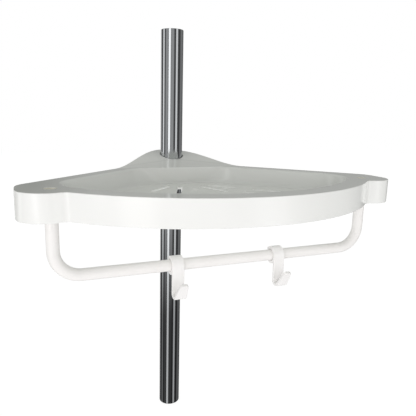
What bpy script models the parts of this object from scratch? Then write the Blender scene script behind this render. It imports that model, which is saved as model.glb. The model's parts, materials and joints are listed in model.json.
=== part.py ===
"""Corner shower shelf on a vertical pole.

A quarter-round tray with a sunk basin grips the pole through a split wedge collet in its hub. A bent
towel bar hangs under the tray, held by a plug in each corner, and two hooks are clipped on the bar.
The origin is at the pole's lower end, on its axis. +Z is up, +Y points into the corner of the room and
-Y out to the user. Every length is in metres.
"""

import math

import bmesh
import bpy
from mathutils import Matrix

# Driving dimensions
POLE_RADIUS = 0.0125
POLE_ABOVE_RIM = 0.1485
RIM_HEIGHT = 0.3075
TRAY_HALF_WIDTH = 0.170
FRONT_SWELL = 0.0738
BASIN_DEPTH = 0.0175
BAR_RADIUS = 0.005
BAR_DROP = 0.0695

# Clearances
SEAT_GAP = 0.0003
POLE_CLEARANCE = 0.001
OVERRUN = 0.006

# Mesh tolerances
WELD = 0.00001
FLAT_ANGLE = math.radians(0.05)
ROUNDED_ABOVE = math.radians(35)

# Pole
POLE_WALL = 0.001
POLE_END_CHAMFER = 0.0003
POLE_STEPS = 64

# Tray outline
LOBE_RADIUS = 0.022
LOBE_SINK = 0.00363
SIDE_STRAIGHT = 0.01395
APEX_RADIUS = 0.012
SHOULDER_RADIUS = 0.0205
BLEND_RADIUS = 0.0065
APRON_WALL = 0.0026
APRON_SKIRT = 0.0023
EDGE_RADIUS = 0.0038
EDGE_SEGMENTS = 4
CORNER_STEPS = 4
LOBE_STEPS = 12
FRONT_STEPS = 16

# Tray deck: the rim is flat at height zero and rises to a level hub round the pole
DECK_HEIGHT = 0.0145
DECK_WALL = 0.0024
RAMP_LEAD = 0.0002
RAMP_LENGTH = 0.064
RAMP_HASTE = 1.2
RAMP_STEPS = 14

# Basin
REAR_RIM = 0.012
FRONT_RIM = 0.0178
HUB_LAND = 0.0193
HUB_CORNER_TOP_RADIUS = 0.022
HUB_CORNER_FLOOR_RADIUS = 0.060
END_CORNER_RADIUS = 0.037
TOP_FILLET = 0.005
FLOOR_FILLET = 0.008
WALL_ANGLE = math.radians(65)
FRONT_RUN_SHARE = 0.5
HUB_RUN_SHARE = 0.12
FLOOR_WALL = 0.0022
SLOPE_WALL = 0.0017
FILLET_STEPS = 3
HUB_CORNER_STEPS = 6
BASIN_SIDE_STEPS = 12

# Drains: each slot runs between two places, as shares of the half width and of the reach to the front
SLOT_RADIUS = 0.0024
SLOT_SHARES = (
    ((0.074, 0.297), (0.147, 0.435)),
    ((0.141, 0.267), (0.268, 0.360)),
    ((0.344, 0.426), (0.447, 0.504)),
    ((0.232, 0.489), (0.329, 0.560)),
)
SLOT_END_STEPS = 6
CENTRE_DRAIN_SHARE = 0.353
CENTRE_DRAIN_RADIUS = 0.0034
CENTRE_DRAIN_STEPS = 16

# Hub socket and collet
SOCKET_WALL = 0.0025
HUB_MARGIN = 0.0045
COLLET_THIN_WALL = 0.0021
COLLET_THICK_WALL = 0.0039
CONE_TOP_DROP = 0.002
COLLET_TOP_DROP = 0.001
COLLET_FLANGE = 0.0025
COLLET_SPLIT = 0.0008
SOCKET_STEPS = 48

# Bosses in the corner lobes, and the plugs that hold the bar in them
BOSS_WALL = 0.0029
SEAT_DEPTH = 0.002
SEAT_WEB = 0.0022
PLUG_CLEARANCE = 0.0006
PLUG_HEAD_LIP = 0.0014
PLUG_HEAD_SINK = 0.0004
PLUG_DOME = 0.0005
PLUG_SHANK_LENGTH = 0.012
PLUG_TIP_CHAMFER = 0.0008
BOSS_STEPS = 32

# Ribs under the tray, each running out from the pole axis at an angle from the front
RIB_THICKNESS = 0.0018
RIB_RECESS = 0.001
RIB_ANGLES = (math.radians(16.7), math.radians(40))

# Towel bar
BAR_INSET = 0.0031
BAR_SETBACK = 0.0007
BAR_WALL = 0.0012
BAR_BEND_RADIUS = 0.021
BAR_BEND_STEPS = 8
BAR_SIDE_RESOLUTION = 6

# Hooks, each at a share of the bar's half span
HOOK_SHARES = (("hook_left", -0.321), ("hook_right", 0.354))
HOOK_WIDTH = 0.0105
HOOK_THICKNESS = 0.0028
HOOK_DROP = 0.0265
HOOK_MOUTH = 0.005
HOOK_TIP_HEIGHT = 0.018
HOOK_TIP_LEAN = math.radians(34)
HOOK_TIP_WIDTH = 0.0068
HOOK_TIP_ROUNDING = 0.0022
HOOK_CORNER_RADIUS = 0.0042
HOOK_SNAP_ANGLE = math.radians(70)
HOOK_EDGE_RADIUS = 0.0004
HOOK_BEND_STEPS = 5
HOOK_RING_STEPS = 22

# What is made once on each side
SIDES = ((-1, "left"), (1, "right"))

# Colours
WHITE = (0.80, 0.80, 0.78, 1)
STEEL = (0.62, 0.62, 0.62, 1)

# Worked out: the hub grows outwards from the pole
POLE_LENGTH = RIM_HEIGHT + POLE_ABOVE_RIM
HUB_BORE_RADIUS = POLE_RADIUS + POLE_CLEARANCE
COLLET_BORE_RADIUS = POLE_RADIUS + SEAT_GAP
CONE_TOP_RADIUS = COLLET_BORE_RADIUS + COLLET_THIN_WALL + SEAT_GAP
CONE_LOW_RADIUS = COLLET_BORE_RADIUS + COLLET_THICK_WALL + SEAT_GAP
SOCKET_RADIUS = CONE_LOW_RADIUS + SOCKET_WALL
REAR_FACE_OFFSET = SOCKET_RADIUS + HUB_MARGIN
REAR_CORNER_Y = REAR_FACE_OFFSET * math.sqrt(2)
HUB_EDGE_Y = -SOCKET_RADIUS - HUB_LAND
RAMP_FRONT_Y = HUB_EDGE_Y - RAMP_LEAD

# Worked out: the lobes stand at the ends of the straight sides, and the front's arc passes just outside
# their centres
APRON_HEIGHT = BASIN_DEPTH + FLOOR_WALL + APRON_SKIRT
CONE_SLOPE = (CONE_LOW_RADIUS - CONE_TOP_RADIUS) / (APRON_HEIGHT - CONE_TOP_DROP)
LOBE_X = TRAY_HALF_WIDTH - LOBE_RADIUS
LOBE_Y = REAR_CORNER_Y - TRAY_HALF_WIDTH - SHOULDER_RADIUS * (math.sqrt(2) - 1) - SIDE_STRAIGHT
FRONT_RADIUS = (LOBE_X**2 + FRONT_SWELL**2 - LOBE_SINK**2) / (2 * (FRONT_SWELL - LOBE_SINK))
FRONT_REACH = FRONT_SWELL - LOBE_Y
FRONT_CENTRE_Y = FRONT_RADIUS - FRONT_REACH

# Worked out: the bar, what holds its ends and what hangs on it
BAR_HALF_SPAN = LOBE_X - BAR_INSET
BAR_Y = LOBE_Y + BAR_SETBACK
BAR_TOP_Z = -(SEAT_DEPTH + SEAT_WEB + SEAT_GAP)
BAR_BORE_RADIUS = BAR_RADIUS + SEAT_GAP
BOSS_RADIUS = BAR_BORE_RADIUS + BOSS_WALL
PLUG_SHANK_RADIUS = BAR_RADIUS - BAR_WALL - PLUG_CLEARANCE
PLUG_HEAD_RADIUS = PLUG_SHANK_RADIUS + PLUG_HEAD_LIP
HOOK_BORE_RADIUS = BAR_RADIUS + SEAT_GAP
HOOK_OUTER_RADIUS = HOOK_BORE_RADIUS + HOOK_THICKNESS
HOOK_INNER_CORNER = HOOK_CORNER_RADIUS - HOOK_THICKNESS
HOOK_CORNER_LEVEL = HOOK_CORNER_RADIUS - HOOK_DROP
HOOK_TIP_RISE = HOOK_TIP_HEIGHT - HOOK_CORNER_RADIUS
HOOK_TIP_REACH = HOOK_TIP_RISE * math.tan(HOOK_TIP_LEAN)
HOOK_TIP_TOP = HOOK_CORNER_LEVEL + HOOK_TIP_RISE - HOOK_INNER_CORNER * math.sin(HOOK_TIP_LEAN)


def clear_scene():
    for obj in list(bpy.data.objects):
        bpy.data.objects.remove(obj)


def new_collection(name):
    collection = bpy.data.collections.new(name)
    bpy.context.scene.collection.children.link(collection)
    return collection


def new_material(name, colour, roughness, metallic):
    material = bpy.data.materials.new(name)
    material.use_nodes = True
    shader = material.node_tree.nodes["Principled BSDF"]
    shader.inputs["Base Color"].default_value = colour
    shader.inputs["Roughness"].default_value = roughness
    shader.inputs["Metallic"].default_value = metallic
    return material


def new_object(name, mesh, collection):
    obj = bpy.data.objects.new(name, mesh)
    collection.objects.link(obj)
    return obj


def arc(centre, radius, start, end, steps):
    """Points of a round stretch, both ends included."""
    angles = [start + (end - start) * i / steps for i in range(steps + 1)]
    return [(centre[0] + radius * math.cos(a), centre[1] + radius * math.sin(a)) for a in angles]


def heading(start, end):
    return math.atan2(end[1] - start[1], end[0] - start[0])


def mirrored(half):
    """The whole outline, from its right half, which runs from the middle of the back to the front."""
    left = [(-x, y) for x, y in reversed(half) if x > 0]
    return list(half) + left


def mesh_from_curve(name, curve):
    """The closed mesh of a curve, with its caps welded on."""
    helper = bpy.data.objects.new(name, curve)
    bpy.context.scene.collection.objects.link(helper)
    graph = bpy.context.evaluated_depsgraph_get()
    mesh = bpy.data.meshes.new_from_object(helper.evaluated_get(graph))
    bpy.data.objects.remove(helper)
    work = bmesh.new()
    work.from_mesh(mesh)
    bmesh.ops.remove_doubles(work, verts=work.verts, dist=WELD)
    bmesh.ops.dissolve_limit(work, angle_limit=FLAT_ANGLE, verts=work.verts, edges=work.edges)
    work.to_mesh(mesh)
    work.free()
    mesh.name = name
    return mesh


def outline_mesh(name, loops, low, high):
    """A solid between two heights whose outline is one or more closed loops."""
    curve = bpy.data.curves.new(name, "CURVE")
    curve.dimensions = "2D"
    curve.fill_mode = "BOTH"
    curve.extrude = (high - low) / 2
    for loop in loops:
        spline = curve.splines.new("POLY")
        spline.points.add(len(loop) - 1)
        for point, (x, y) in zip(spline.points, loop):
            point.co = (x, y, 0, 1)
        spline.use_cyclic_u = True
    mesh = mesh_from_curve(name, curve)
    mesh.transform(Matrix.Translation((0, 0, (high + low) / 2)))
    return mesh


def lofted_mesh(name, rings):
    """A closed solid through rings of as many points each, given as (loop, height) from the top down."""
    work = bmesh.new()
    rows = [[work.verts.new((x, y, height)) for x, y in loop] for loop, height in rings]
    count = len(rows[0])
    for upper, lower in zip(rows, rows[1:]):
        for i in range(count):
            j = (i + 1) % count
            work.faces.new((upper[i], upper[j], lower[j], lower[i]))
    work.faces.new(rows[0])
    work.faces.new(rows[-1])
    bmesh.ops.recalc_face_normals(work, faces=work.faces)
    mesh = bpy.data.meshes.new(name)
    work.to_mesh(mesh)
    work.free()
    return mesh


def turned_object(name, profile, steps, collection):
    """A solid turned about Z. The profile is (radius, height), down the outer side."""
    mesh = bpy.data.meshes.new(name)
    closed = profile[0][0] > 0
    edges = [(i, i + 1) for i in range(len(profile) - 1)]
    if closed:
        edges.append((len(profile) - 1, 0))
    mesh.from_pydata([(radius, 0, height) for radius, height in profile], edges, [])
    obj = new_object(name, mesh, collection)
    screw = obj.modifiers.new("Turn", "SCREW")
    screw.steps = steps
    screw.render_steps = steps
    screw.use_merge_vertices = True
    screw.merge_threshold = WELD
    return obj


def box_mesh(name, low, high):
    work = bmesh.new()
    bmesh.ops.create_cube(work, size=1)
    size = [b - a for a, b in zip(low, high)]
    middle = [(b + a) / 2 for a, b in zip(low, high)]
    bmesh.ops.scale(work, vec=size, verts=work.verts)
    bmesh.ops.translate(work, vec=middle, verts=work.verts)
    mesh = bpy.data.meshes.new(name)
    work.to_mesh(mesh)
    work.free()
    return mesh


def cutter(obj):
    obj.hide_render = True
    obj.display_type = "WIRE"
    return obj


def cut(target, other):
    modifier = target.modifiers.new(f"Cut {other.name}", "BOOLEAN")
    modifier.operation = "DIFFERENCE"
    modifier.object = other
    modifier.solver = "EXACT"


def bevel(target, width, segments):
    modifier = target.modifiers.new("Rounded edges", "BEVEL")
    modifier.width = width
    modifier.segments = segments
    modifier.limit_method = "ANGLE"
    modifier.angle_limit = ROUNDED_ABOVE


def place(obj, parent, location=(0, 0, 0)):
    obj.parent = parent
    obj.location = location


def circles_meet(first, first_radius, second, second_radius):
    """Where two circles cross, on the right-hand side going from the first centre to the second."""
    apart = math.dist(first, second)
    along = (first_radius**2 - second_radius**2 + apart**2) / (2 * apart)
    aside = math.sqrt(first_radius**2 - along**2)
    unit = ((second[0] - first[0]) / apart, (second[1] - first[1]) / apart)
    return (first[0] + along * unit[0] + aside * unit[1],
            first[1] + along * unit[1] - aside * unit[0])


def tray_outline(inset):
    """The tray seen from above, drawn in by the inset all round."""
    rear_sum = REAR_CORNER_Y - inset * math.sqrt(2)
    side = TRAY_HALF_WIDTH - inset
    apex_radius = APEX_RADIUS - inset
    shoulder_radius = SHOULDER_RADIUS - inset
    lobe_radius = LOBE_RADIUS - inset
    front_radius = FRONT_RADIUS - inset
    blend_radius = BLEND_RADIUS + inset
    apex = (0, rear_sum - apex_radius * math.sqrt(2))
    shoulder = (side - shoulder_radius, rear_sum - side + shoulder_radius * (1 - math.sqrt(2)))
    lobe = (LOBE_X, LOBE_Y)
    front = (0, FRONT_CENTRE_Y)
    blend = circles_meet(front, front_radius + blend_radius, lobe, lobe_radius + blend_radius)
    half = arc(apex, apex_radius, math.pi / 2, math.pi / 4, CORNER_STEPS)
    half += arc(shoulder, shoulder_radius, math.pi / 4, 0, CORNER_STEPS)
    half += arc(lobe, lobe_radius, 0, heading(lobe, blend), LOBE_STEPS)
    half += arc(blend, blend_radius, heading(blend, lobe), heading(blend, front), CORNER_STEPS)[1:-1]
    half += arc(front, front_radius, heading(front, blend), -math.pi / 2, FRONT_STEPS)
    return mirrored(half)


def basin_outline(run, depth_share, grow=0):
    """The basin seen from above, where its walls have come in by the run at the rear."""
    rear_sum = REAR_CORNER_Y - (REAR_RIM + run - grow) * math.sqrt(2)
    front_run = run * FRONT_RUN_SHARE
    front_radius = FRONT_RADIUS - FRONT_RIM - front_run + grow
    hub_y = HUB_EDGE_Y - run * HUB_RUN_SHARE + grow
    end_radius = END_CORNER_RADIUS - (run + front_run) / 2 + grow
    hub_radius = HUB_CORNER_TOP_RADIUS + (HUB_CORNER_FLOOR_RADIUS - HUB_CORNER_TOP_RADIUS) * depth_share
    hub_centre = (rear_sum - hub_y - hub_radius * (math.sqrt(2) - 1), hub_y - hub_radius)
    middle_sum = rear_sum - end_radius * math.sqrt(2) - FRONT_CENTRE_Y
    reach = front_radius - end_radius
    end_x = (middle_sum + math.sqrt(2 * reach**2 - middle_sum**2)) / 2
    end = (end_x, middle_sum - end_x + FRONT_CENTRE_Y)
    front = (0, FRONT_CENTRE_Y)
    half = [(0, hub_y)]
    half += arc(hub_centre, hub_radius, math.pi / 2, math.pi / 4, HUB_CORNER_STEPS)
    half += arc(end, end_radius, math.pi / 4, heading(front, end), BASIN_SIDE_STEPS)
    half += arc(front, front_radius, heading(front, end), -math.pi / 2, BASIN_SIDE_STEPS)[1:]
    return mirrored(half)


def basin_rings(above, drop, grow):
    """Rings down the basin's wall, lowered by the drop and grown all round, from above the rim."""
    rings = [(basin_outline(0, 0, grow), above)]
    for run, height in wall_section():
        rings.append((basin_outline(run, -height / BASIN_DEPTH, grow), height - drop))
    return rings


def wall_section():
    """The basin wall's section, as (run inwards, height): top fillet, slope and floor fillet."""
    turned = 1 - math.cos(WALL_ANGLE)
    slope_drop = BASIN_DEPTH - (TOP_FILLET + FLOOR_FILLET) * turned
    slope_run = slope_drop / math.tan(WALL_ANGLE)
    angles = [WALL_ANGLE * i / FILLET_STEPS for i in range(FILLET_STEPS + 1)]
    top = [(TOP_FILLET * math.sin(a), -TOP_FILLET * (1 - math.cos(a))) for a in angles]
    floor_run = (TOP_FILLET + FLOOR_FILLET) * math.sin(WALL_ANGLE) + slope_run
    floor = [(floor_run - FLOOR_FILLET * math.sin(a), FLOOR_FILLET * (1 - math.cos(a)) - BASIN_DEPTH)
             for a in reversed(angles)]
    return top + floor


def ramp_rise(along):
    """How much of its height the ramp has reached, at a share of its length: level at both ends."""
    eased = 1 - (1 - along) ** RAMP_HASTE
    return eased * eased * (3 - 2 * eased)


def deck_profile(drop):
    """The top of the ramp from front to back, as (y, height), lowered by the drop."""
    shares = [i / RAMP_STEPS for i in range(RAMP_STEPS + 1)]
    return [(RAMP_FRONT_Y + RAMP_LENGTH * along, DECK_HEIGHT * ramp_rise(along) - drop) for along in shares]


def above_deck(name, drop, collection):
    """All that lies above the top of the tray, to be cut away."""
    ceiling = DECK_HEIGHT + 2 * OVERRUN
    front = -FRONT_REACH - OVERRUN
    back = REAR_CORNER_Y + OVERRUN
    profile = [(front, -drop)] + deck_profile(drop) + [(back, DECK_HEIGHT - drop)]
    profile += [(back, ceiling), (front, ceiling)]
    half = TRAY_HALF_WIDTH + OVERRUN
    mesh = outline_mesh(name, [profile], -half, half)
    across = Matrix(((0, 0, 1, 0), (1, 0, 0, 0), (0, 1, 0, 0), (0, 0, 0, 1)))
    mesh.transform(across)
    return cutter(new_object(name, mesh, collection))


def round_cutter(name, radius, steps, place_xy, collection):
    """An upright round bar, longer than the tray is high."""
    loop = arc(place_xy, radius, 0, 2 * math.pi, steps)[:-1]
    mesh = outline_mesh(name, [loop], -APRON_HEIGHT - 2 * OVERRUN, DECK_HEIGHT + 3 * OVERRUN)
    return cutter(new_object(name, mesh, collection))


def rib_cutter(name, angle, collection):
    """An upright wall from the hub to past the front, turned about the pole axis."""
    low = (-RIB_THICKNESS / 2, -FRONT_REACH - OVERRUN, RIB_RECESS - APRON_HEIGHT)
    high = (RIB_THICKNESS / 2, -HUB_BORE_RADIUS, DECK_HEIGHT + 2 * OVERRUN)
    mesh = box_mesh(name, low, high)
    mesh.transform(Matrix.Rotation(angle, 4, "Z"))
    return cutter(new_object(name, mesh, collection))


def make_underside(place_at, collection):
    """The hollow under the tray. Basin, socket, bosses and ribs stand in it, so they are cut from it."""
    low = -APRON_HEIGHT - OVERRUN
    mesh = outline_mesh("underside", [tray_outline(APRON_WALL)], low, DECK_HEIGHT + OVERRUN)
    hollow = new_object("underside", mesh, collection)
    parts = [above_deck("underside_ceiling", DECK_WALL, collection)]
    rings = basin_rings(DECK_HEIGHT + 2 * OVERRUN, FLOOR_WALL, SLOPE_WALL)
    parts.append(cutter(new_object("basin_shell", lofted_mesh("basin_shell", rings), collection)))
    parts.append(round_cutter("socket_wall", SOCKET_RADIUS, SOCKET_STEPS, (0, 0), collection))
    for side, word in SIDES:
        middle = (side * BAR_HALF_SPAN, BAR_Y)
        parts.append(round_cutter(f"boss_{word}", BOSS_RADIUS, BOSS_STEPS, middle, collection))
        for number, angle in enumerate(RIB_ANGLES, 1):
            parts.append(rib_cutter(f"rib_{word}_{number}", side * angle, collection))
    for part in parts:
        place(part, place_at)
        cut(hollow, part)
    place(hollow, place_at)
    return cutter(hollow)


def make_basin_cutter(place_at, collection):
    rings = basin_rings(OVERRUN, 0, 0)
    obj = new_object("basin_space", lofted_mesh("basin_space", rings), collection)
    place(obj, place_at)
    return cutter(obj)


def slot_loop(side, near, far):
    """A slot's outline on one side of the tray, between two places given as shares."""
    start = (side * TRAY_HALF_WIDTH * near[0], -FRONT_REACH * near[1])
    end = (side * TRAY_HALF_WIDTH * far[0], -FRONT_REACH * far[1])
    turn = heading(start, end) + math.pi / 2
    loop = arc(start, SLOT_RADIUS, turn, turn + math.pi, SLOT_END_STEPS)
    loop += arc(end, SLOT_RADIUS, turn + math.pi, turn + 2 * math.pi, SLOT_END_STEPS)
    return loop


def make_drain_cutter(place_at, collection):
    centre = (0, -FRONT_REACH * CENTRE_DRAIN_SHARE)
    loops = [arc(centre, CENTRE_DRAIN_RADIUS, 0, 2 * math.pi, CENTRE_DRAIN_STEPS)[:-1]]
    for side, _ in SIDES:
        loops += [slot_loop(side, near, far) for near, far in SLOT_SHARES]
    low = -BASIN_DEPTH - FLOOR_WALL - OVERRUN
    high = OVERRUN - BASIN_DEPTH
    obj = new_object("drains", outline_mesh("drains", loops, low, high), collection)
    place(obj, place_at)
    return cutter(obj)


def make_socket_cutter(place_at, collection):
    """The wedge seat of the collet, and the clearance hole for the pole above it."""
    low = -APRON_HEIGHT - OVERRUN
    high = DECK_HEIGHT + OVERRUN
    profile = [(0, high), (HUB_BORE_RADIUS, high), (HUB_BORE_RADIUS, -CONE_TOP_DROP),
               (CONE_TOP_RADIUS, -CONE_TOP_DROP), (CONE_LOW_RADIUS + CONE_SLOPE * OVERRUN, low), (0, low)]
    obj = turned_object("socket_space", profile, SOCKET_STEPS, collection)
    place(obj, place_at)
    return cutter(obj)


def make_boss_cutter(side, word, place_at, collection):
    """The bore for the bar's end, the hole through the web and the seat of the plug's head."""
    web_low = -SEAT_DEPTH - SEAT_WEB
    low = -APRON_HEIGHT - OVERRUN
    hole = PLUG_SHANK_RADIUS + SEAT_GAP
    head = PLUG_HEAD_RADIUS + SEAT_GAP
    profile = [(0, OVERRUN), (head, OVERRUN), (head, -SEAT_DEPTH), (hole, -SEAT_DEPTH),
               (hole, web_low), (BAR_BORE_RADIUS, web_low), (BAR_BORE_RADIUS, low), (0, low)]
    obj = turned_object(f"bar_seat_{word}", profile, BOSS_STEPS, collection)
    place(obj, place_at, (side * BAR_HALF_SPAN, BAR_Y, 0))
    return cutter(obj)


def make_tray(place_at, pieces, cutters):
    mesh = outline_mesh("shelf_tray", [tray_outline(0)], -APRON_HEIGHT, DECK_HEIGHT + OVERRUN)
    tray = new_object("shelf_tray", mesh, pieces)
    place(tray, place_at)
    top = above_deck("above_deck", 0, cutters)
    place(top, place_at)
    cut(tray, top)
    bevel(tray, EDGE_RADIUS, EDGE_SEGMENTS)
    cut(tray, make_underside(place_at, cutters))
    cut(tray, make_basin_cutter(place_at, cutters))
    cut(tray, make_drain_cutter(place_at, cutters))
    cut(tray, make_socket_cutter(place_at, cutters))
    for side, word in SIDES:
        cut(tray, make_boss_cutter(side, word, place_at, cutters))
    return tray


def make_pole(pieces):
    """A round tube with its ends cut square and lightly chamfered outside."""
    bore = POLE_RADIUS - POLE_WALL
    edge = POLE_RADIUS - POLE_END_CHAMFER
    profile = [(edge, POLE_LENGTH), (POLE_RADIUS, POLE_LENGTH - POLE_END_CHAMFER),
               (POLE_RADIUS, POLE_END_CHAMFER), (edge, 0), (bore, 0), (bore, POLE_LENGTH)]
    return turned_object("pole_tube", profile, POLE_STEPS, pieces)


def make_collet_half(side, word, place_at, pieces, cutters):
    """One half of the split wedge sleeve between the pole and the hub's socket."""
    top = -CONE_TOP_DROP - COLLET_TOP_DROP
    flange_top = -APRON_HEIGHT - SEAT_GAP
    flange_low = flange_top - COLLET_FLANGE
    top_radius = CONE_TOP_RADIUS + CONE_SLOPE * COLLET_TOP_DROP - SEAT_GAP
    low_radius = CONE_LOW_RADIUS - SEAT_GAP
    profile = [(top_radius, top), (low_radius, flange_top), (SOCKET_RADIUS, flange_top),
               (SOCKET_RADIUS, flange_low), (COLLET_BORE_RADIUS, flange_low), (COLLET_BORE_RADIUS, top)]
    half = turned_object(f"collet_half_{word}", profile, SOCKET_STEPS, pieces)
    reach = SOCKET_RADIUS + OVERRUN
    mesh = box_mesh(f"collet_split_{word}", (-reach, -reach, flange_low - OVERRUN),
                    (COLLET_SPLIT / 2, reach, OVERRUN))
    if side < 0:
        mesh.transform(Matrix.Rotation(math.pi, 4, "Z"))
    split = cutter(new_object(f"collet_split_{word}", mesh, cutters))
    place(split, place_at)
    place(half, place_at)
    cut(half, split)
    return half


def make_bar(place_at, pieces):
    """A tube along one path: up out of one boss, across under the tray, and up into the other."""
    turn = BAR_BEND_RADIUS
    inner = BAR_HALF_SPAN - turn
    level = turn - BAR_DROP
    path = [(-BAR_HALF_SPAN, BAR_TOP_Z)]
    path += arc((-inner, level), turn, math.pi, 1.5 * math.pi, BAR_BEND_STEPS)
    path += arc((inner, level), turn, 1.5 * math.pi, 2 * math.pi, BAR_BEND_STEPS)
    path += [(BAR_HALF_SPAN, BAR_TOP_Z)]
    curve = bpy.data.curves.new("towel_bar", "CURVE")
    curve.dimensions = "3D"
    curve.bevel_depth = BAR_RADIUS
    curve.bevel_resolution = BAR_SIDE_RESOLUTION
    spline = curve.splines.new("POLY")
    spline.points.add(len(path) - 1)
    for point, (x, z) in zip(spline.points, path):
        point.co = (x, 0, z, 1)
    bar = new_object("towel_bar", mesh_from_curve("towel_bar", curve), pieces)
    wall = bar.modifiers.new("Wall", "SOLIDIFY")
    wall.thickness = BAR_WALL
    wall.offset = -1
    place(bar, place_at, (0, BAR_Y, 0))
    return bar


def make_plug(side, word, place_at, pieces):
    """The headed plug that closes the seat in a lobe and holds the bar's end."""
    head_top = -PLUG_HEAD_SINK
    head_low = SEAT_GAP - SEAT_DEPTH
    tip = head_low - PLUG_SHANK_LENGTH
    tip_radius = PLUG_SHANK_RADIUS - PLUG_TIP_CHAMFER
    profile = [(0, head_top), (PLUG_HEAD_RADIUS - PLUG_DOME, head_top),
               (PLUG_HEAD_RADIUS, head_top - PLUG_DOME), (PLUG_HEAD_RADIUS, head_low),
               (PLUG_SHANK_RADIUS, head_low), (PLUG_SHANK_RADIUS, tip + PLUG_TIP_CHAMFER),
               (tip_radius, tip), (0, tip)]
    plug = turned_object(f"bar_plug_{word}", profile, BOSS_STEPS, pieces)
    place(plug, place_at, (side * BAR_HALF_SPAN, BAR_Y, 0))
    return plug


def hook_outline():
    """The hook from its side, as (forward, up) from the bar's axis: clip ring, tab and turned-up tip."""
    bore = HOOK_BORE_RADIUS
    outer = HOOK_OUTER_RADIUS
    inner_radius = HOOK_INNER_CORNER
    back_corner = (bore + HOOK_CORNER_RADIUS, HOOK_CORNER_LEVEL)
    front_corner = (outer + HOOK_MOUTH - inner_radius, HOOK_CORNER_LEVEL)
    snap = HOOK_SNAP_ANGLE / 2
    tab_meets_ring = -math.acos(bore / outer)
    lean = -HOOK_TIP_LEAN
    up = (HOOK_TIP_REACH, HOOK_TIP_RISE)
    base = arc(front_corner, HOOK_CORNER_RADIUS, -math.pi / 2, lean, HOOK_BEND_STEPS)
    hollow = arc(front_corner, inner_radius, lean, -math.pi / 2, HOOK_BEND_STEPS - 1)
    loop = arc((0, 0), outer, snap - math.pi, tab_meets_ring, HOOK_RING_STEPS // 2)
    loop += arc(back_corner, HOOK_CORNER_RADIUS, math.pi, 1.5 * math.pi, HOOK_BEND_STEPS) + base
    loop += [(base[-1][0] + up[0], base[-1][1] + up[1]), (hollow[0][0] + up[0], hollow[0][1] + up[1])]
    loop += hollow
    loop += arc(back_corner, inner_radius, 1.5 * math.pi, math.pi, HOOK_BEND_STEPS - 1)
    loop += arc((0, 0), outer, 0, math.pi - snap, HOOK_RING_STEPS // 2)
    loop += arc((0, 0), bore, math.pi - snap, snap - math.pi, HOOK_RING_STEPS)
    return loop


def tip_surround():
    """All round the hook's tip, seen from the front as (right, up): a taper with round top corners."""
    taper = (HOOK_WIDTH - HOOK_TIP_WIDTH) / (HOOK_TIP_TOP - HOOK_CORNER_LEVEL) / 2
    corner = (HOOK_TIP_WIDTH / 2 - HOOK_TIP_ROUNDING, HOOK_TIP_TOP + HOOK_EDGE_RADIUS - HOOK_TIP_ROUNDING)
    side = HOOK_WIDTH / 2
    foot = HOOK_CORNER_LEVEL - OVERRUN
    right = [(side + OVERRUN, HOOK_TIP_TOP + OVERRUN), (side + OVERRUN, foot), (side + taper * OVERRUN, foot)]
    right += arc(corner, HOOK_TIP_ROUNDING, math.atan(taper), math.pi / 2, HOOK_BEND_STEPS)
    return right + [(-x, height) for x, height in reversed(right)]


def make_tip_cutter(name, place_at, collection):
    mouth_middle = HOOK_OUTER_RADIUS + HOOK_MOUTH / 2
    front = HOOK_OUTER_RADIUS + HOOK_MOUTH + HOOK_CORNER_RADIUS + HOOK_TIP_REACH + OVERRUN
    mesh = outline_mesh(name, [tip_surround()], mouth_middle, front)
    mesh.transform(Matrix(((1, 0, 0, 0), (0, 0, -1, 0), (0, 1, 0, 0), (0, 0, 0, 1))))
    obj = new_object(name, mesh, collection)
    place(obj, place_at)
    return cutter(obj)


def make_hook(name, x, place_at, pieces, cutters):
    mesh = outline_mesh(name, [hook_outline()], -HOOK_WIDTH / 2, HOOK_WIDTH / 2)
    upright = Matrix(((0, 0, -1, 0), (-1, 0, 0, 0), (0, 1, 0, 0), (0, 0, 0, 1)))
    mesh.transform(upright)
    hook = new_object(name, mesh, pieces)
    place(hook, place_at, (x, BAR_Y, -BAR_DROP))
    cut(hook, make_tip_cutter(f"{name}_tip_surround", hook, cutters))
    bevel(hook, HOOK_EDGE_RADIUS, 1)
    return hook


def finish(obj, material):
    obj.data.materials.append(material)
    obj.data.shade_smooth()
    obj.data.set_sharp_from_angle(angle=ROUNDED_ABOVE)


def main():
    clear_scene()
    pieces = new_collection("corner_shower_shelf")
    cutters = new_collection("cutters")
    shelf = bpy.data.objects.new("shelf_level", None)
    pieces.objects.link(shelf)
    shelf.location = (0, 0, RIM_HEIGHT)
    plastic = new_material("white_moulded_plastic", WHITE, 0.35, 0)
    sleeve = new_material("white_sleeve_plastic", WHITE, 0.5, 0)
    enamel = new_material("white_coated_tube", WHITE, 0.3, 0)
    steel = new_material("polished_steel", STEEL, 0.12, 1)
    finish(make_pole(pieces), steel)
    finish(make_tray(shelf, pieces, cutters), plastic)
    finish(make_bar(shelf, pieces), enamel)
    for side, word in SIDES:
        finish(make_collet_half(side, word, shelf, pieces, cutters), sleeve)
        finish(make_plug(side, word, shelf, pieces), plastic)
    for name, share in HOOK_SHARES:
        finish(make_hook(name, share * BAR_HALF_SPAN, shelf, pieces, cutters), plastic)
    bpy.context.view_layer.update()


main()
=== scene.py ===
# %% [markdown]
# Corner shower shelf on a steel pole
#
# The object is a quarter-round white tray that grips a vertical steel pole at its rear corner. A white
# towel bar is bent up into the tray's two front corners, and two hooks are clipped on it. The packed
# CAD model holds every piece at its real size. This lesson gives each one its finish: a smooth mesh
# with softened edges, a material, and then light, a floor and the camera.

# %% Load the frame
import json
import math

import bpy
from mathutils import Matrix, Vector


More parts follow.
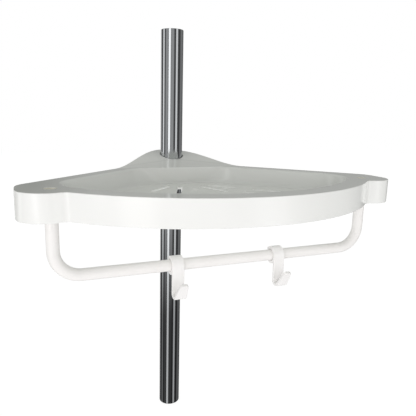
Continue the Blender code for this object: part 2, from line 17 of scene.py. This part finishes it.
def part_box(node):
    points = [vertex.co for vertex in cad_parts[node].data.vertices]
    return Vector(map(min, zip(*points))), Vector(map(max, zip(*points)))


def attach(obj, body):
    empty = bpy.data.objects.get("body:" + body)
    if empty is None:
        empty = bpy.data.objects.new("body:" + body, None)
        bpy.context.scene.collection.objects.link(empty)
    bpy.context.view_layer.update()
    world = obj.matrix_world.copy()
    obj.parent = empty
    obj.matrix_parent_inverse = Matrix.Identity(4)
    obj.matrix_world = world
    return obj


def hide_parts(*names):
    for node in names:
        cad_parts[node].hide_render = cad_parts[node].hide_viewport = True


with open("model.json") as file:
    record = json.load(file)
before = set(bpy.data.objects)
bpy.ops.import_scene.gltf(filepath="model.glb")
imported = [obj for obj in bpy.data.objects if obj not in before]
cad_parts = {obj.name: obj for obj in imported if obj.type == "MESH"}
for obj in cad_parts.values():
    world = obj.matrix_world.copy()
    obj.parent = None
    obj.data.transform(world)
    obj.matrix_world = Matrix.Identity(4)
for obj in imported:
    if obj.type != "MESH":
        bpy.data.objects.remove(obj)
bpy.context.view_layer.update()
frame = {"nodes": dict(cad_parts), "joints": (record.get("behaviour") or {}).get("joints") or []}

# %% [markdown]
# Every size below comes from the CAD nodes, so the new pieces fit without any fitting by eye. The box of
# a node gives its outer sizes. A wall, a bend or a rounding that the box can't tell is a value of its own,
# in metres, as on the drawing of the real piece.

# %% Sizes read from the frame
MM = 0.001
pole_low, pole_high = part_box("pole_tube")
bar_low, bar_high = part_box("towel_bar")

pole_radius = pole_high.x
bar_radius = (bar_high.y - bar_low.y) / 2
bar_y = (bar_high.y + bar_low.y) / 2
bar_level = bar_low.z + bar_radius
bar_half_span = bar_high.x - bar_radius
print("pole radius", round(pole_radius / MM, 2), "mm, bar radius", round(bar_radius / MM, 2), "mm")

# %% [markdown]
# Blender's operators act on whatever is selected, and the CAD nodes come in selected. So each step begins
# by selecting one object alone. A finished piece keeps its place in its mesh and its object at the
# origin, which is what transform_apply does.

# %% Helpers for working as by hand
MERGE_WITHIN = 0.002 * MM
FLAT_WITHIN = 0.01 * MM
CORNER_ANGLE = math.radians(60)
SMOOTH_BELOW = math.radians(35)


def only(obj):
    bpy.ops.object.select_all(action="DESELECT")
    obj.select_set(True)
    bpy.context.view_layer.objects.active = obj


def edit(obj, kind="VERT"):
    only(obj)
    bpy.ops.object.mode_set(mode="EDIT")
    bpy.ops.mesh.select_mode(type=kind)


def leave_edit():
    bpy.ops.object.mode_set(mode="OBJECT")


def named(name):
    obj = bpy.context.object
    obj.name = name
    obj.data.name = name
    return obj


def modify(obj, kind, **settings):
    """Adds one modifier with its settings and applies it."""
    only(obj)
    bpy.ops.object.modifier_add(type=kind)
    modifier = obj.modifiers[-1]
    for key, value in settings.items():
        setattr(modifier, key, value)
    bpy.ops.object.modifier_apply(modifier=modifier.name)


def clean(obj):
    """Joins corners that fall together, takes out faces without area and turns every face outward."""
    edit(obj)
    bpy.ops.mesh.select_all(action="SELECT")
    bpy.ops.mesh.remove_doubles(threshold=MERGE_WITHIN)
    bpy.ops.mesh.dissolve_degenerate(threshold=FLAT_WITHIN)
    bpy.ops.mesh.normals_make_consistent(inside=False)
    leave_edit()


def soften(obj, width, segments, sharper_than=CORNER_ANGLE):
    """Rounds every edge where two faces meet at more than the angle."""
    modify(obj, "BEVEL", width=width, segments=segments, limit_method="ANGLE", angle_limit=sharper_than)


def settle(obj):
    """Puts the place into the mesh, cleans it, shades it smooth up to an angle and evens its normals."""
    only(obj)
    bpy.ops.object.transform_apply(location=True, rotation=True, scale=True)
    clean(obj)
    bpy.ops.object.shade_smooth_by_angle(angle=SMOOTH_BELOW)
    modify(obj, "WEIGHTED_NORMAL", keep_sharp=True)
    print(obj.name, len(obj.data.polygons), "faces")


# %% [markdown]
# The pole is a stainless steel tube, 25 mm across, cut square. A cylinder without caps gives its outside.
# Solidify gives it the 1 mm wall of the real tube, and a small bevel takes the sharpness off the saw cut,
# so the rim of the cut catches a thin line of light.

# %% The pole
POLE_WALL = 1.0 * MM
POLE_EDGE = 0.3 * MM
POLE_SIDES = 128
bpy.ops.mesh.primitive_cylinder_add(
    vertices=POLE_SIDES, radius=pole_radius, depth=pole_high.z - pole_low.z, end_fill_type="NOTHING",
    location=(0, 0, (pole_low.z + pole_high.z) / 2))
pole = named("steel_pole")
modify(pole, "SOLIDIFY", thickness=POLE_WALL, offset=-1)
soften(pole, POLE_EDGE, segments=3)
settle(pole)
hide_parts("pole_tube")
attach(pole, "pole")

# %% [markdown]
# The towel bar is a 10 mm steel tube, bent cold and then coated white. It is drawn the way it is bent: a
# circle at the left end is extruded down the leg, spun through the first bend, extruded along the
# straight, spun through the second bend and extruded up the other leg.

# %% The towel bar
BAR_BEND = 21 * MM
BAR_WALL = 1.2 * MM
BAR_SIDES = 40
BEND_STEPS = 14
bend_x = bar_half_span - BAR_BEND
bend_z = bar_level + BAR_BEND
leg = bar_high.z - bend_z
bpy.ops.object.select_all(action="DESELECT")
bpy.ops.mesh.primitive_circle_add(
    vertices=BAR_SIDES, radius=bar_radius, fill_type="NOTHING", location=(-bar_half_span, bar_y, bar_high.z))
bar = named("coated_towel_bar")
edit(bar)
bpy.ops.mesh.select_all(action="SELECT")
bpy.ops.mesh.extrude_region_move(TRANSFORM_OT_translate={"value": (0, 0, -leg)})
bpy.ops.mesh.spin(steps=BEND_STEPS, angle=math.pi / 2, center=(-bend_x, bar_y, bend_z), axis=(0, 1, 0))
bpy.ops.mesh.extrude_region_move(TRANSFORM_OT_translate={"value": (2 * bend_x, 0, 0)})
bpy.ops.mesh.spin(steps=BEND_STEPS, angle=math.pi / 2, center=(bend_x, bar_y, bend_z), axis=(0, 1, 0))
bpy.ops.mesh.extrude_region_move(TRANSFORM_OT_translate={"value": (0, 0, leg)})
leave_edit()
clean(bar)
modify(bar, "SOLIDIFY", thickness=BAR_WALL, offset=-1)
settle(bar)
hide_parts("towel_bar")
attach(bar, "shelf")

# %% [markdown]
# The tray is injection moulded in one piece, so all of it is one mesh. It could be modelled again from its
# outline, but the CAD node already has the right shape, and only its shading is hard, because it comes as
# loose triangles. So a copy of it is merged into one skin. The drain slots are where the mould's two
# halves meet, and their rims are rounded by a bevel on just those edges. A rim is an edge on the floor's
# level where two faces meet square. The basin's wall meets the floor there too, at up to 58 degrees, so a
# limit of 70 leaves it out. The bevel would push the floor's thin triangles over each other, so beautify
# fill turns them into fuller ones first. The weighted normals then keep the flat areas flat while the
# fillets stay smooth. The frame tells the level of the tray's rim, because the swivel is stated on it.

# %% A merged copy of a CAD node
def merged_copy(node, name):
    """A new piece with the node's shape, its loose triangles joined into one skin."""
    obj = bpy.data.objects.new(name, frame["nodes"][node].data.copy())
    bpy.context.scene.collection.objects.link(obj)
    obj.data.name = name
    edit(obj)
    bpy.ops.mesh.customdata_custom_splitnormals_clear()
    bpy.ops.mesh.select_all(action="SELECT")
    bpy.ops.mesh.mark_sharp(clear=True)
    leave_edit()
    clean(obj)
    return obj


# %% Choosing edges and faces by their place
NEAR = 0.05 * MM


def pick(obj, parts, wanted):
    """Selects the edges or faces whose corners all pass the test, and goes into edit mode."""
    leave_edit()
    for vertex in obj.data.vertices:
        vertex.select = False
    for part in [*obj.data.edges, *obj.data.polygons]:
        part.select = False
    for part in getattr(obj.data, parts):
        part.select = all(wanted(obj.data.vertices[i].co) for i in part.vertices)
    edit(obj, {"edges": "EDGE", "polygons": "FACE"}[parts])


# %% The tray
BASIN_DEPTH = 17.5 * MM
NEARLY_FLAT = math.radians(5)
RIM_SHARPNESS = math.radians(70)
SLOT_ROUNDING = 0.8 * MM
swivel = next(joint for joint in frame["joints"] if joint["name"] == "shelf_swivel")
rim_level = swivel["pos_m"][2]
floor_level = rim_level - BASIN_DEPTH
tray = merged_copy("shelf_tray", "moulded_tray")
edit(tray)
bpy.ops.mesh.select_all(action="SELECT")
bpy.ops.mesh.beautify_fill(angle_limit=NEARLY_FLAT)
bpy.ops.mesh.select_mode(type="EDGE")
bpy.ops.mesh.select_all(action="DESELECT")
bpy.ops.mesh.edges_select_sharp(sharpness=RIM_SHARPNESS)
leave_edit()
for edge in tray.data.edges:
    levels = [tray.data.vertices[i].co.z for i in edge.vertices]
    edge.select = edge.select and all(abs(level - floor_level) < NEAR for level in levels)
print(sum(edge.select for edge in tray.data.edges), "rim edges of slots and drains rounded")
edit(tray, "EDGE")
bpy.ops.mesh.bevel(offset=SLOT_ROUNDING, segments=3, profile=0.5, loop_slide=False)
leave_edit()
settle(tray)
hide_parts("shelf_tray")
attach(tray, "shelf")

# %% [markdown]
# Each end of the bar is held by a headed plug, pressed down through the corner of the tray into the tube.
# It is turned in shape, so it could be a profile that is spun. A cylinder is quicker here: it is the head,
# its lower face is inset to the shank's size and extruded down, and a bevel gives the head its soft edge.

# %% The plugs
PLUG_SHANK = 12 * MM
PLUG_LIP = 1.4 * MM
PLUG_EDGE = 0.5 * MM
PLUG_SIDES = 48


def make_plug(node, name):
    low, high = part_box(node)
    centre = (low + high) / 2
    head = high.z - low.z - PLUG_SHANK
    bpy.ops.object.select_all(action="DESELECT")
    bpy.ops.mesh.primitive_cylinder_add(
        vertices=PLUG_SIDES, radius=(high.x - low.x) / 2, depth=head,
        location=(centre.x, centre.y, high.z - head / 2))
    plug = named(name)
    pick(plug, "polygons", lambda corner: corner.z < 0)
    bpy.ops.mesh.inset(thickness=PLUG_LIP)
    bpy.ops.mesh.extrude_region_move(TRANSFORM_OT_translate={"value": (0, 0, -PLUG_SHANK)})
    leave_edit()
    soften(plug, PLUG_EDGE, segments=4)
    settle(plug)
    return plug


for side in ("left", "right"):
    plug = make_plug(f"bar_plug_{side}", f"{side}_bar_plug")
    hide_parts(f"bar_plug_{side}")
    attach(plug, "shelf")

# %% [markdown]
# A hook is one moulding of a springy plastic: a split ring that snaps over the bar, a flat tab and a
# turned-up tip. The ring is a flat section spun round the bar's axis, open at the back. The tab and tip
# are the same section, extruded down, spun round the lower corners and extruded up the leaning tip, whose
# end is then scaled narrower and gets two round corners. A bevel rounds every edge of both, before a
# Boolean joins them, because the small faces that it leaves at the joint would hold the bevel back.

# %% Sizes of a hook
HOOK_THICKNESS = 2.8 * MM
HOOK_GAP = 0.3 * MM
HOOK_CORNER = 4.2 * MM
HOOK_MOUTH = 5.0 * MM
HOOK_TIP = 18 * MM
HOOK_LEAN = math.radians(34)
HOOK_TIP_WIDTH = 6.8 * MM
HOOK_TIP_ROUNDING = 2.2 * MM
HOOK_SNAP = math.radians(70)
HOOK_ROUNDING = 0.5 * MM
HOOK_SHARPNESS = math.radians(50)
RING_STEPS = 28
CORNER_STEPS = 8
TIP_STEPS = 6


# %% A strip that grows from a flat section
def section(name, width, forward, up, turn):
    """The strip's end face. It stands forward and up from the bar's axis, turned about that axis."""
    bpy.ops.object.select_all(action="DESELECT")
    bpy.ops.mesh.primitive_plane_add(
        size=1, location=(0, bar_y - forward, bar_level + up), rotation=(turn, 0, 0))
    obj = named(name)
    obj.scale = (width, HOOK_THICKNESS, 1)
    bpy.ops.object.transform_apply(location=True, rotation=True, scale=True)
    edit(obj, "FACE")
    bpy.ops.mesh.select_all(action="SELECT")
    return obj


def spin_strip(forward, up, angle, steps):
    bpy.ops.mesh.spin(
        steps=steps, angle=angle, center=(0, bar_y - forward, bar_level + up), axis=(1, 0, 0))


def extrude_strip(forward, up):
    bpy.ops.mesh.extrude_region_move(TRANSFORM_OT_translate={"value": (0, -forward, up)})


# %% The hooks
def make_hook(node, name):
    low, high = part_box(node)
    width = high.x - low.x
    drop = bar_level - low.z
    bore = bar_radius + HOOK_GAP
    middle = bore + HOOK_THICKNESS / 2
    snap = HOOK_SNAP / 2
    inner_corner = HOOK_CORNER - HOOK_THICKNESS
    low_z = HOOK_CORNER - drop
    front = bore + HOOK_THICKNESS + HOOK_MOUTH - inner_corner
    rise = HOOK_TIP - HOOK_CORNER
    hook = section(name, width, -middle * math.cos(snap), middle * math.sin(snap), snap)
    spin_strip(0, 0, 2 * snap - 2 * math.pi, RING_STEPS)
    leave_edit()
    tab = section("tab_and_tip", width, middle, 0, 0)
    extrude_strip(0, low_z)
    spin_strip(bore + HOOK_CORNER, low_z, math.pi / 2, CORNER_STEPS)
    extrude_strip(front - bore - HOOK_CORNER, 0)
    spin_strip(front, low_z, math.pi / 2 - HOOK_LEAN, CORNER_STEPS)
    extrude_strip(math.tan(HOOK_LEAN) * rise, rise)
    bpy.ops.transform.resize(value=(HOOK_TIP_WIDTH / width, 1, 1), center_override=(0, 0, 0))
    for side_x in (-HOOK_TIP_WIDTH / 2, HOOK_TIP_WIDTH / 2):
        pick(tab, "edges", lambda corner: abs(corner.x - side_x) < NEAR)
        bpy.ops.mesh.bevel(offset=HOOK_TIP_ROUNDING, segments=TIP_STEPS)
    leave_edit()
    for piece in (hook, tab):
        clean(piece)
        soften(piece, HOOK_ROUNDING, segments=3, sharper_than=HOOK_SHARPNESS)
    modify(hook, "BOOLEAN", operation="UNION", object=tab, solver="EXACT")
    bpy.data.objects.remove(tab)
    hook.location.x = (low.x + high.x) / 2
    settle(hook)
    return hook


for side in ("left", "right"):
    hook = make_hook(f"hook_{side}", f"{side}_hook_moulding")
    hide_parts(f"hook_{side}")
    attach(hook, f"{side}_hook")

# %% [markdown]
# The two halves of the wedge sleeve sit between the hub and the pole. Only their lower flange shows, from
# below. Copies of their nodes are merged, which gives the cone its smooth shading.

# %% The wedge sleeve
for side in ("left", "right"):
    half = merged_copy(f"collet_half_{side}", f"{side}_sleeve_half")
    settle(half)
    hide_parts(f"collet_half_{side}")
    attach(half, "sleeve")

# %% [markdown]
# Colours are written as they are picked from a screen, in sRGB hex. Cycles works in linear light, so one
# function turns them. A second small function adds a node with its settings and links.

# %% Helpers for materials
def linear(colour):
    values = [int(colour[i:i + 2], 16) / 255 for i in (1, 3, 5)]
    return [v / 12.92 if v <= 0.04045 else ((v + 0.055) / 1.055) ** 2.4 for v in values] + [1]


def add(tree, kind, settings=None, links=None):
    """Adds a node. Settings are its own values or, by name or number, its sockets; links name sockets."""
    node = tree.nodes.new(kind)
    for key, value in (settings or {}).items():
        if isinstance(key, int) or key in node.inputs:
            node.inputs[key].default_value = value
        else:
            setattr(node, key, value)
    for key, source in (links or {}).items():
        tree.links.new(source, node.inputs[key])
    return node


def new_material(name, ior=1.5, metallic=0):
    material = bpy.data.materials.new(name)
    material.use_nodes = True
    tree = material.node_tree
    shader = tree.nodes["Principled BSDF"]
    shader.inputs["IOR"].default_value = ior
    shader.inputs["Metallic"].default_value = metallic
    return material, tree, shader


def dress(obj, material):
    obj.data.materials.clear()
    obj.data.materials.append(material)


# %% [markdown]
# The tray is ABS, injection moulded in a polished mould: a white that is a little warm, with a soft gloss.
# Its skin is never a perfect mirror. It ripples by a few microns over a few millimetres, and its gloss
# changes a little from place to place where it has been wiped. Both come from noise at those sizes. The
# same function serves the other white plastics, which differ in tint, gloss and size of ripple.

# %% White plastics
def moulded_white(name, ior, light, dark, gloss, dull, cloud_size, ripple_size, ripple_depth):
    """A white from light to dark and a roughness from gloss to dull, in clouds, with a fine ripple."""
    material, tree, shader = new_material(name, ior)
    place = add(tree, "ShaderNodeTexCoord").outputs["Object"]
    cloud = add(tree, "ShaderNodeTexNoise", {"Scale": 1 / cloud_size, "Detail": 3.0}, {"Vector": place})
    ripple = add(tree, "ShaderNodeTexNoise", {"Scale": 1 / ripple_size, "Detail": 1.0}, {"Vector": place})
    colour = add(tree, "ShaderNodeMix", {"data_type": "RGBA", 6: linear(light), 7: linear(dark)},
                 {0: cloud.outputs["Fac"]})
    roughness = add(tree, "ShaderNodeMapRange", {"To Min": gloss, "To Max": dull},
                    {"Value": cloud.outputs["Fac"]})
    bump = add(tree, "ShaderNodeBump", {"Distance": ripple_depth}, {"Height": ripple.outputs["Fac"]})
    tree.links.new(colour.outputs[2], shader.inputs["Base Color"])
    tree.links.new(roughness.outputs["Result"], shader.inputs["Roughness"])
    tree.links.new(bump.outputs["Normal"], shader.inputs["Normal"])
    return material


# Polished ABS: a tight, slightly wavy gloss, in which the pole is mirrored at a low angle.
tray_white = moulded_white(
    "moulded_white_abs", ior=1.53, light="#F4F5F3", dark="#ECEDEA", gloss=0.1, dull=0.2,
    cloud_size=60 * MM, ripple_size=4 * MM, ripple_depth=0.006 * MM)
# Nylon yellows a little with age, which sets the plugs off from the tray.
plug_ivory = moulded_white(
    "moulded_ivory_nylon", ior=1.53, light="#F6F2E0", dark="#ECE7D3", gloss=0.3, dull=0.42,
    cloud_size=12 * MM, ripple_size=1.5 * MM, ripple_depth=0.01 * MM)
# Acetal is milky and smooth, so the hooks look softer than the tray.
hook_white = moulded_white(
    "moulded_white_acetal", ior=1.48, light="#F8F7F6", dark="#F0EFED", gloss=0.3, dull=0.4,
    cloud_size=10 * MM, ripple_size=2 * MM, ripple_depth=0.008 * MM)
# Polypropylene from an etched mould is matt and a little grey.
sleeve_white = moulded_white(
    "etched_white_polypropylene", ior=1.49, light="#E9E9E4", dark="#DDDDD6", gloss=0.5, dull=0.65,
    cloud_size=15 * MM, ripple_size=0.8 * MM, ripple_depth=0.02 * MM)
dress(tray, tray_white)
for side in ("left", "right"):
    dress(bpy.data.objects[f"{side}_bar_plug"], plug_ivory)
    dress(bpy.data.objects[f"{side}_hook_moulding"], hook_white)
    dress(bpy.data.objects[f"{side}_sleeve_half"], sleeve_white)

# %% [markdown]
# The bar has a powder coat, baked on: a smooth white with the faint orange peel of melted powder, about
# a millimetre and a half from crest to crest. It is the same kind of surface as a moulded plastic, so the
# same function makes it.

# %% The bar's powder coat
coat_white = moulded_white(
    "white_powder_coat", ior=1.5, light="#F5F4F2", dark="#EEECE9", gloss=0.3, dull=0.42,
    cloud_size=30 * MM, ripple_size=1.5 * MM, ripple_depth=0.015 * MM)
dress(bar, coat_white)

# %% [markdown]
# The pole is stainless steel, polished along its length by a belt. That leaves scratches far finer than a
# picture shows, so they are drawn 0.9 mm apart, each about 70 mm long, and very shallow. They break up
# the mirrored bands a little. Steel is a metal, so its colour is the colour of what it mirrors.

# %% Polished stainless steel
GRAIN_WIDTH = 0.9 * MM
GRAIN_LENGTH = 70 * MM
GRAIN_DEPTH = 0.003 * MM
SMEAR_SIZE = 30 * MM
STEEL_SMOOTHEST = 0.04
STEEL_ROUGHEST = 0.13
steel, tree, shader = new_material("belt_polished_stainless_steel", metallic=1)
place = add(tree, "ShaderNodeTexCoord").outputs["Object"]
along = add(tree, "ShaderNodeMapping", {"Scale": (1 / GRAIN_WIDTH, 1 / GRAIN_WIDTH, 1 / GRAIN_LENGTH)},
            {"Vector": place})
grain = add(tree, "ShaderNodeTexNoise", {"Scale": 1.0, "Detail": 3.0}, {"Vector": along.outputs["Vector"]})
smear = add(tree, "ShaderNodeTexNoise", {"Scale": 1 / SMEAR_SIZE, "Detail": 3.0}, {"Vector": place})
colour = add(tree, "ShaderNodeMix", {"data_type": "RGBA", 6: linear("#BFC2C5"), 7: linear("#D3D5D6")},
             {0: grain.outputs["Fac"]})
roughness = add(tree, "ShaderNodeMapRange", {"To Min": STEEL_SMOOTHEST, "To Max": STEEL_ROUGHEST},
                {"Value": smear.outputs["Fac"]})
bump = add(tree, "ShaderNodeBump", {"Distance": GRAIN_DEPTH}, {"Height": grain.outputs["Fac"]})
tree.links.new(colour.outputs[2], shader.inputs["Base Color"])
tree.links.new(roughness.outputs["Result"], shader.inputs["Roughness"])
tree.links.new(bump.outputs["Normal"], shader.inputs["Normal"])
dress(pole, steel)

# %% [markdown]
# The photograph was taken from in front of the shelf, a little to its left and above it. The camera's
# place, turn and tilt come from fitting the tray's outline, the bar and the pole's edges. Its lens is
# given by its focal length in pixels of the square picture.

# %% The camera
CAMERA_TURN = math.radians(22.793)
CAMERA_TILT = math.radians(11.321)
CAMERA_ROLL = math.radians(1.449)
CAMERA_LEFT = 164.716 * MM
CAMERA_FRONT = 507.25 * MM
CAMERA_ABOVE_RIM = 54.178 * MM
FOCAL_PIXELS = 451.545
FRAME_PIXELS = 416
SENSOR_MM = 36
NEAREST_SEEN = 10 * MM
ahead = Vector((math.sin(CAMERA_TURN), math.cos(CAMERA_TURN), 0))
forward = ahead * math.cos(CAMERA_TILT) - Vector((0, 0, math.sin(CAMERA_TILT)))
level = Vector((math.cos(CAMERA_TURN), -math.sin(CAMERA_TURN), 0))
right = Matrix.Rotation(-CAMERA_ROLL, 3, forward) @ level
up = right.cross(forward)
place = Vector((-CAMERA_LEFT, -CAMERA_FRONT, rim_level + CAMERA_ABOVE_RIM))
bpy.ops.object.camera_add()
camera = named("photo_camera")
camera.matrix_world = Matrix.Translation(place) @ Matrix((right, up, -forward)).transposed().to_4x4()
camera.data.sensor_width = SENSOR_MM
camera.data.lens = FOCAL_PIXELS / FRAME_PIXELS * SENSOR_MM
camera.data.clip_start = NEAREST_SEEN
bpy.context.scene.camera = camera
print("camera at", [round(value, 4) for value in place], "lens", round(camera.data.lens, 2), "mm")

# %% [markdown]
# The floor is a wide pale plane, just under the pole's end, like the glowing table that small goods are
# photographed on. Most of its white is its own, so it lights the apron, the bar and the hooks from below.
# The camera sees it a little brighter than that, so that it runs into the white background with no
# horizon. The rest is lit, so that it keeps the object's soft shadow. The pole mirrors the studio and not
# the floor.

# %% The floor
FLOOR_SIZE = 8000 * MM
FLOOR_GAP = 0.5 * MM
FLOOR_OWN_WHITE = 0.7
FLOOR_GLOW = 1.05
FLOOR_SEEN = 1.25
bpy.ops.object.select_all(action="DESELECT")
bpy.ops.mesh.primitive_plane_add(size=FLOOR_SIZE, location=(0, 0, -FLOOR_GAP))
floor = named("studio_floor")
paper, tree, shader = new_material("white_background_paper")
shader.inputs["Base Color"].default_value = linear("#F0F0F0")
shader.inputs["Roughness"].default_value = 0.9
rays = add(tree, "ShaderNodeLightPath")
strength = add(tree, "ShaderNodeMapRange", {"To Min": FLOOR_GLOW, "To Max": FLOOR_SEEN},
               {"Value": rays.outputs["Is Camera Ray"]})
white = add(tree, "ShaderNodeEmission", {"Color": linear("#FFFFFF")},
            {"Strength": strength.outputs["Result"]})
surface = add(tree, "ShaderNodeMixShader", {0: FLOOR_OWN_WHITE},
              {1: shader.outputs["BSDF"], 2: white.outputs["Emission"]})
tree.links.new(surface.outputs[0], tree.nodes["Material Output"].inputs["Surface"])
floor.data.materials.append(paper)
floor.visible_glossy = False

# %% [markdown]
# The world does three jobs, told apart by the kind of ray. The camera sees plain white. Matt surfaces get
# an even, weak light. Mirrors see the studio: a dark room with upright panels of light round the object,
# which is how polished tubes are photographed, because a tube in plain white would look like a white
# stick. Each panel has an azimuth, with 0 in front of the shelf and 90 on its right, a width, and its
# brightness above and below. The weaker panels don't reach far down, as the tube's lower half shows, so
# there is one colour ramp for the upper half of the studio and one for the lower. A ramp holds 32 stops at
# most, which is eight panels.

# %% The studio that the steel mirrors
PANELS = ((-163, 22, 0.7, 0.3), (-112, 20, 1.0, 0.2), (-71, 30, 0.4, 0.06), (-44, 24, 1.6, 0.7),
          (-12, 30, 0.4, 0.05), (33, 20, 0.95, 0.5), (94, 36, 0.25, 0.14), (150, 50, 0.3, 0.15))
ROOM_ABOVE = 0.07
ROOM_BELOW = 0.025
PANEL_SOFTNESS = 7
LOWER_HALF = -0.42
UPPER_HALF = -0.2
above, below = [], []
for middle, width, bright_above, bright_below in PANELS:
    low, high = middle - width / 2, middle + width / 2
    for stops, room, bright in ((above, ROOM_ABOVE, bright_above), (below, ROOM_BELOW, bright_below)):
        stops += [(low - PANEL_SOFTNESS / 2, room), (low + PANEL_SOFTNESS / 2, bright)]
        stops += [(high - PANEL_SOFTNESS / 2, bright), (high + PANEL_SOFTNESS / 2, room)]

world = bpy.data.worlds.new("studio")
world.use_nodes = True
bpy.context.scene.world = world
tree = world.node_tree
direction = add(tree, "ShaderNodeTexCoord").outputs["Generated"]
axes = add(tree, "ShaderNodeSeparateXYZ", {}, {"Vector": direction})
backwards = add(tree, "ShaderNodeMath", {"operation": "MULTIPLY", 1: -1.0}, {0: axes.outputs["Y"]})
azimuth = add(tree, "ShaderNodeMath", {"operation": "ARCTAN2"},
              {0: axes.outputs["X"], 1: backwards.outputs[0]})
turn = add(tree, "ShaderNodeMapRange", {"From Min": -math.pi, "From Max": math.pi},
           {"Value": azimuth.outputs[0]})
ramps = []
for stops in (below, above):
    ramp = add(tree, "ShaderNodeValToRGB", {}, {"Fac": turn.outputs["Result"]})
    elements = ramp.color_ramp.elements
    while len(elements) < len(stops):
        elements.new(1)
    for element, (degrees, brightness) in zip(elements, stops):
        element.position = (degrees + 180) / 360
        element.color = (brightness, brightness, brightness, 1)
    ramps.append(ramp)
rise = add(tree, "ShaderNodeMapRange", {"From Min": LOWER_HALF, "From Max": UPPER_HALF},
           {"Value": axes.outputs["Z"]})
bands = add(tree, "ShaderNodeMix", {"data_type": "RGBA"},
            {0: rise.outputs["Result"], 6: ramps[0].outputs["Color"], 7: ramps[1].outputs["Color"]})
print(len(above), "stops round the studio")

# %% The world's three jobs
AMBIENT = 0.54
rays = add(tree, "ShaderNodeLightPath")
ambient = add(tree, "ShaderNodeBackground", {"Color": linear("#FCFEF9"), "Strength": AMBIENT})
white = add(tree, "ShaderNodeBackground", {"Color": linear("#FFFFFF")})
mirrored = add(tree, "ShaderNodeBackground", {}, {"Color": bands.outputs[2]})
seen = add(tree, "ShaderNodeMixShader", {},
           {0: rays.outputs["Is Camera Ray"], 1: ambient.outputs[0], 2: white.outputs[0]})
whole = add(tree, "ShaderNodeMixShader", {},
            {0: rays.outputs["Is Glossy Ray"], 1: seen.outputs[0], 2: mirrored.outputs[0]})
tree.links.new(whole.outputs[0], tree.nodes["World Output"].inputs["Surface"])

# %% [markdown]
# Two large softboxes stand at the height of the shelf, the main one to the left of the camera and a weaker
# one to its right. Standing so low, they light the apron, the bar and the hooks, and only graze the tray's
# top and basin, which stay a calm grey in the world's light. A third one behind keeps the back from going
# dark. The steel mirrors the panels above, so the softboxes don't show in it.

# %% The lamps
LAMP_TINT = "#FFFAFF"


def softbox(name, azimuth, distance, height, size, watts):
    azimuth = math.radians(azimuth)
    place = Vector((math.sin(azimuth) * distance, -math.cos(azimuth) * distance, height))
    aim = Vector((0, 0, rim_level)) - place
    bpy.ops.object.light_add(type="AREA", location=place, rotation=aim.to_track_quat("-Z", "Y").to_euler())
    lamp = bpy.context.object
    lamp.name = name
    lamp.data.shape = "RECTANGLE"
    lamp.data.size, lamp.data.size_y = size
    lamp.data.energy = watts
    lamp.data.color = linear(LAMP_TINT)[:3]
    lamp.visible_glossy = False
    print(name, [round(value, 2) for value in place])


softbox("main_softbox", azimuth=-42, distance=1.6, height=0.26, size=(1.2, 0.5), watts=7)
softbox("front_softbox", azimuth=20, distance=1.6, height=0.24, size=(1.4, 0.5), watts=3.5)
softbox("back_softbox", azimuth=160, distance=1.8, height=0.3, size=(1.6, 0.6), watts=4.5)

# %% [markdown]
# The finish sets Blender's Standard view transform.

# %% Finish
bpy.context.scene.view_settings.view_transform = "Standard"
